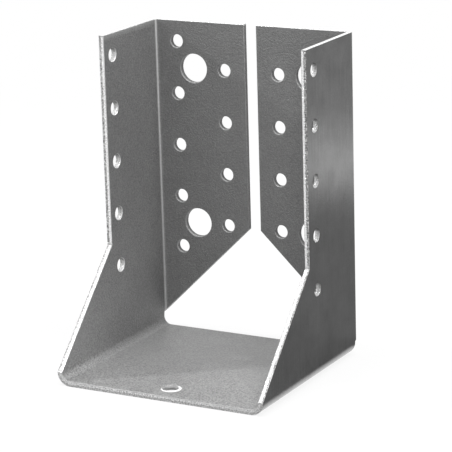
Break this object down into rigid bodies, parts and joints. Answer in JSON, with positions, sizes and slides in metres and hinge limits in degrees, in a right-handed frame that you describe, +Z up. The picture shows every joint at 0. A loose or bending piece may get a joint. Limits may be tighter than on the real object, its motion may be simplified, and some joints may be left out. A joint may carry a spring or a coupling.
{
  "type": "joist hanger",
  "caption": "Folded steel joist hanger with inward flanges: a U-shaped cradle for a timber joist, with nail holes in cheeks and flanges and bolt holes for the header.",
  "frame": {"origin": "middle of the bounding box at the underside of the seat", "axes": "+X across the joist to its right seen from the front, +Y from the joist towards the header beam, +Z up"},
  "size_m": [0.084, 0.078, 0.122],
  "materials": {
    "galvanised": "dull galvanised sheet"
  },
  "bodies": {
    "root": {"hanger": "galvanised"}
  },
  "joints": []
}
